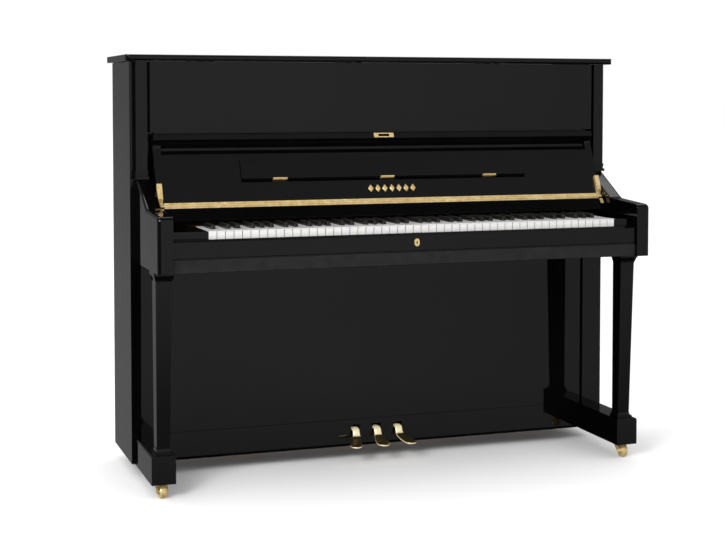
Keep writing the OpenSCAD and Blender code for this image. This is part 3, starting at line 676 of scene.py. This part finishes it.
# ---------------------------------------------------------------- pedals
PEDAL_STATIONS = [
    # share of the sideways flare, y, z, half width, half depth
    (0, 104, 90, 7, 5), (0, 102, 90, 10, 8), (0, 95, 90, 11, 9), (0, 84, 90.5, 11, 7),
    (0, 60, 92, 11, 5.6), (0, 30, 93.8, 11, 5.6), (0, 16, 94.4, 11, 5.6), (0, 9, 93.8, 11, 5.4),
    (0, 4.6, 91.4, 11, 5.1), (0, 2.4, 87, 11, 4.9), (0, 0.8, 82, 11.1, 4.8), (0.02, -2, 76.6, 11.6, 4.8),
    (0.1, -7.5, 72, 12.7, 4.8), (0.28, -16, 67.6, 14.4, 4.9), (0.52, -27, 64, 16.8, 5),
    (0.78, -38, 61.2, 18.6, 5), (0.95, -48, 59.4, 19, 4.8), (1, -57, 58.2, 17.6, 4.4),
    (1, -63, 57.5, 14.2, 3.9), (1, -67, 57.2, 9.5, 3), (1, -69.5, 57.1, 4, 1.6)]
TOE_FLARE = 18
for i, name in ((-1, "left_pedal"), (0, "middle_pedal"), (1, "right_pedal")):
    arm = [v.co.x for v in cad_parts[name].data.vertices if v.co.y > 60 * MM]
    middle = (min(arm) + max(arm)) / 2 / MM
    piece = Piece(name + "_lever", name, (PEDAL_BRASS,), "brass", [name])
    piece.sweep([(middle + share * i * TOE_FLARE, y, z, wide, deep)
                 for share, y, z, wide, deep in PEDAL_STATIONS], 0, 20, 0.72)
    piece.done(subdivide=1)


# ---------------------------------------------------------------- casters
WHEEL_HALF = [(3.1, -9.4), (5.6, -9.8), (6.6, -9.6), (7.2, -8.2), (8.4, -7.2), (12.6, -7.2),
              (13.6, -8.2), (14.6, -9.2), (16.2, -8.6), (17.3, -6.8), (17.85, -4.2)]
WHEEL_PROFILE = WHEEL_HALF + [(18, 0)] + [(r, -h) for r, h in reversed(WHEEL_HALF)]


def across_x(x, y, z):
    return Matrix.Translation((x, y, z)) @ Matrix.Rotation(math.pi / 2, 4, "Y") @ Matrix.Scale(MM, 4)


def caster_wheel(node):
    low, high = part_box(node)
    at = (low + high) / 2
    piece = Piece(node + "_turned", node, (BRASS,), "brass", [node])
    piece.lathe(WHEEL_PROFILE, across_x(*at), 40)
    piece.done(0.3 * MM, 2)
    return at


def caster_fork(piece, x, y, axle, stem):
    """Cap, neck, two curved cheeks and the axle, for a stem at (x, y)."""
    up = Matrix.Translation((x, y, 0)) @ Matrix.Scale(MM, 4)
    piece.lathe([(16.6, 41.5), (17, 40.6), (17, 38.6), (16, 37.2), (12.5, 36.2), (11.5, 35.2)], up, 36)
    if stem:
        piece.lathe([(4.9, 41), (4.9, 74), (3.8, 76)], up, 16)
    shift = axle.y / MM - y / MM
    cheek = [(-11, 38.4), (11, 38.4), (11.5, 33), (9 + shift * 0.3, 26), (6.5 + shift * 0.7, 20),
             (5.8 + shift, 15), (3.4 + shift, 12.4), (shift, 11.4), (-3.4 + shift, 12.4),
             (-6.2 + shift, 15.6), (-8 + shift * 0.9, 21), (-10.5 + shift * 0.45, 28), (-12, 34)]
    outline = [((y / MM + a) * MM, b * MM) for a, b in cheek]
    for side in (-1, 1):
        inner, outer = x + side * 11.2 * MM, x + side * 14.8 * MM
        piece.prism(outline, min(inner, outer), max(inner, outer), 0)
    pin = [(2, -17.2), (3.6, -16.6), (4.4, -15), (4.4, -14.4), (2.9, -14.4), (2.9, 14.4), (4.4, 14.4),
           (4.4, 15), (3.6, 16.6), (2, 17.2)]
    piece.lathe(pin, across_x(x, axle.y, axle.z), 20)


for side in ("left", "right"):
    node = f"front_{side}_caster_fork"
    stem = [v.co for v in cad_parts[node].data.vertices if v.co.z > 60 * MM]
    x, y = sum(spread(stem, 0)) / 2, sum(spread(stem, 1)) / 2
    axle = caster_wheel(f"front_{side}_caster_wheel")
    piece = Piece(node + "_cast", node, (BRASS,), "brass", [node])
    caster_fork(piece, x, y, axle, True)
    piece.done(0.8 * MM, 3)
piece = Piece("rear_caster_forks_cast", "case", (BRASS,), "brass", ["rear_caster_forks"])
for side in ("left", "right"):
    axle = caster_wheel(f"rear_{side}_caster_wheel")
    caster_fork(piece, axle.x, axle.y, axle, False)
piece.done(0.8 * MM, 3)


# ---------------------------------------------------------------- small fittings
FALL_AT = Vector((0, -97, 786)) * MM
ON_BOARD = Matrix.Translation(FALL_AT) @ Matrix.Rotation(math.radians(66), 4, "X") @ Matrix.Scale(MM, 4)
BOARD_FACE = -5
COVE_FOOT, COVE_TOP, COVE_DEEP = 177, 195, 14
PLATE_FACE = BOARD_FACE + 10.8


def on_board(x, y, z):
    return ON_BOARD @ Matrix.Translation((x, y, z))


def facing_front(x, y, z):
    turn = Matrix.Rotation(math.pi / 2, 4, "X")
    return Matrix.Translation(Vector((x, y, z)) * MM) @ turn @ Matrix.Scale(MM, 4)


def shade_cove():
    """Paints shade on the underside of the lip, over the cove: a dull black that barely reflects, standing
    in for the shade in that hollow.
    """
    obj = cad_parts["fallboard"]
    # painted shade: a near-black finish that barely reflects, put on the downward faces under the lip
    f = Finish("cove_painted_shade", IOR=1.5, Specular_IOR_Level=0.05)
    f.tint(f.noise(20.0), (0.3, (0.0008, 0.0008, 0.0008)), (0.7, (0.0015, 0.0014, 0.0014)))
    f.between(f.noise(80.0, 4.0), 0.25, 0.4, "Roughness")
    obj.data.materials.append(f.material)
    local = ON_BOARD.inverted()
    turn = local.to_3x3().normalized()
    for face in obj.data.polygons:
        at, facing = local @ face.center, turn @ face.normal
        hollow = COVE_FOOT < at.y < COVE_TOP and abs(at.z) < COVE_DEEP
        if hollow and facing.y < -0.5 and abs(facing.x) < 0.1:
            face.material_index = 1
    obj.modifiers["planar"].delimit = {"NORMAL", "MATERIAL"}


shade_cove()
piece = Piece("fallboard_screws", "fallboard", (BRASS,), "brass")
HINGE_HALF = 674
HINGE_SCREWS = 29
BARREL_END = 690
for i in range(HINGE_SCREWS):
    x = -HINGE_HALF + 12 + i * (2 * HINGE_HALF - 24) / (HINGE_SCREWS - 1)
    piece.screw(on_board(x, 8.6, BOARD_FACE + 1.4), 1.6)
for x in (-24, 24):
    piece.screw(on_board(x, 203, 16.2), 2.6)
for side in (-1, 1):
    ends = sorted((side * HINGE_HALF, side * BARREL_END))
    barrel = on_board(ends[0] + 0.5, 0, 0) @ Matrix.Rotation(math.pi / 2, 4, "Y")
    long = ends[1] - ends[0] - 1
    piece.lathe([(3.9, 0), (4.2, 0.4), (4.2, long - 0.4), (3.9, long)], barrel, 24)
for x in (-683, 683):
    for y in (22, 40, 58):
        piece.screw(on_board(x, y, PLATE_FACE), 2.4)
piece.done()

ORNAMENT_AT = (9, 43)
LOZENGE_TALL, LOZENGE_WIDE, LOZENGE_PITCH = 12, 8.5, 22
piece = Piece("fallboard_ornament", "fallboard", (BRASS,), "brass")
for i in range(-3, 4):
    tall, wide = LOZENGE_TALL, LOZENGE_WIDE
    x, y = ORNAMENT_AT[0] + i * LOZENGE_PITCH, ORNAMENT_AT[1]
    rings = []
    for size, up in ((1, 0), (1, 0.25), (0.55, 0.6)):
        corners = ((wide, 0, 0), (0, tall, 0), (-wide, 0, 0), (0, -tall, 0))
        rings.append([on_board(x, y, BOARD_FACE + up) @ (Vector(p) * size) for p in corners])
    piece.faces(rings)
piece.done()

piece = Piece("plate_bolts", "case", (PIN,), "pin_steel")
plate_low, plate_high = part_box("iron_plate")
for z in (plate_high.z - 22 * MM, plate_low.z + 30 * MM):
    for i in range(9):
        x = plate_low.x + 30 * MM + i * (plate_high.x - plate_low.x - 60 * MM) / 8
        piece.screw(facing_front(x / MM, plate_low.y / MM, z / MM), 7)
piece.done()


# ---------------------------------------------------------------- stage
def stage_floor():
    mesh = bpy.data.meshes.new("floor")
    half = 40.0
    mesh.from_pydata([(-half, -half, 0), (half, -half, 0), (half, half, 0), (-half, half, 0)],
                     [], [(0, 1, 2, 3)])
    obj = bpy.data.objects.new("floor", mesh)
    bpy.context.scene.collection.objects.link(obj)
    f = Finish("studio_floor", Roughness=0.7, Specular_IOR_Level=0.1)
    f.tint(f.noise(0.6), (0.3, (0.89, 0.89, 0.89)), (0.7, (0.90, 0.90, 0.90)))
    mesh.materials.append(f.material)
    obj.visible_glossy = False


def studio_world():
    """White to the eye and an even light, while gloss mirrors a room of its own: pale, with dark bands."""
    world = bpy.data.worlds.new("studio")
    bpy.context.scene.world = world
    world.use_nodes = True
    nodes, links = world.node_tree.nodes, world.node_tree.links
    back = nodes["Background"]
    back.inputs["Strength"].default_value = 1.0
    split = nodes.new("ShaderNodeSeparateXYZ")
    links.new(nodes.new("ShaderNodeTexCoord").outputs["Generated"], split.inputs["Vector"])

    def share(socket, start, stop):
        node = nodes.new("ShaderNodeMapRange")
        node.inputs["From Min"].default_value = start
        node.inputs["From Max"].default_value = stop
        links.new(socket, node.inputs["Value"])
        return node.outputs["Result"]

    def greys(fac, *stops):
        ramp = nodes.new("ShaderNodeValToRGB")
        while len(ramp.color_ramp.elements) < len(stops):
            ramp.color_ramp.elements.new(0.5)
        for element, (at, grey) in zip(ramp.color_ramp.elements, stops):
            element.position = at
            element.color = (grey, grey, grey * 1.03, 1)
        links.new(fac, ramp.inputs["Fac"])
        return ramp.outputs["Color"]

    def blend(fac, a, b):
        node = nodes.new("ShaderNodeMix")
        node.data_type = "RGBA"
        links.new(fac, node.inputs["Factor"])
        for value, socket in ((a, node.inputs[6]), (b, node.inputs[7])):
            if isinstance(value, float):
                socket.default_value = (value, value, value, 1)
            else:
                links.new(value, socket)
        return node.outputs[2]

    up = share(split.outputs["Z"], -1, 1)
    before = greys(up, (0.0, 0.01), (0.30, 0.04), (0.36, 0.14), (0.405, 0.38), (0.5, 0.44), (0.62, 0.41),
                   (0.80, 0.30), (0.86, 0.20), (0.93, 0.03), (1.0, 0.01))
    before_right = greys(up, (0.0, 0.01), (0.30, 0.03), (0.36, 0.12), (0.405, 0.30), (0.5, 0.35),
                         (0.62, 0.34), (0.80, 0.24), (0.86, 0.16), (0.93, 0.03), (1.0, 0.01))
    aside = greys(up, (0.0, 0.01), (0.40, 0.03), (0.5, 0.10), (0.7, 0.10), (0.93, 0.02))
    behind = greys(up, (0.0, 0.24), (0.44, 0.21), (0.5, 0.16), (0.6, 0.12), (0.82, 0.12), (0.87, 1.4),
                   (0.97, 1.4), (1.0, 0.4))
    facing = blend(share(split.outputs["X"], 0.3, 0.5), before, before_right)
    ahead = blend(share(split.outputs["X"], -0.2, 0.1), aside, facing)
    mirrored = blend(share(split.outputs["Y"], 0.25, -0.15), behind, ahead)
    path = nodes.new("ShaderNodeLightPath")
    unseen = blend(path.outputs["Is Glossy Ray"], 1.3, mirrored)
    links.new(blend(path.outputs["Is Camera Ray"], unseen, 1.0), back.inputs["Color"])


def soft_light(name, at, size, watts):
    light = bpy.data.lights.new(name, "AREA")
    light.shape = "SQUARE"
    light.size = size
    light.energy = watts
    obj = bpy.data.objects.new(name, light)
    obj.location = at
    obj.rotation_euler = (Vector((0, 0, 0.7)) - Vector(at)).to_track_quat("-Z", "Y").to_euler()
    bpy.context.scene.collection.objects.link(obj)


def shaded_ground():
    """A dark sheet just above the floor under the object, which only gloss can see."""
    low, high = cad_low, cad_high
    mesh = bpy.data.meshes.new("shaded_ground")
    mesh.from_pydata([(low.x, low.y * 0.6, MM), (high.x, low.y * 0.6, MM), (high.x, high.y, MM),
                      (low.x, high.y, MM)], [], [(0, 1, 2, 3)])
    obj = bpy.data.objects.new("shaded_ground", mesh)
    bpy.context.scene.collection.objects.link(obj)
    f = Finish("shaded_ground", Roughness=1.0, Specular_IOR_Level=0.0)
    f.tint(f.noise(2.0), (0.3, (0.010, 0.010, 0.010)), (0.7, (0.014, 0.014, 0.014)))
    mesh.materials.append(f.material)
    obj.visible_camera = obj.visible_diffuse = obj.visible_shadow = False


stage_floor()
shaded_ground()
studio_world()
soft_light("key", (-3.4, -3.6, 3.0), 1.6, 160)
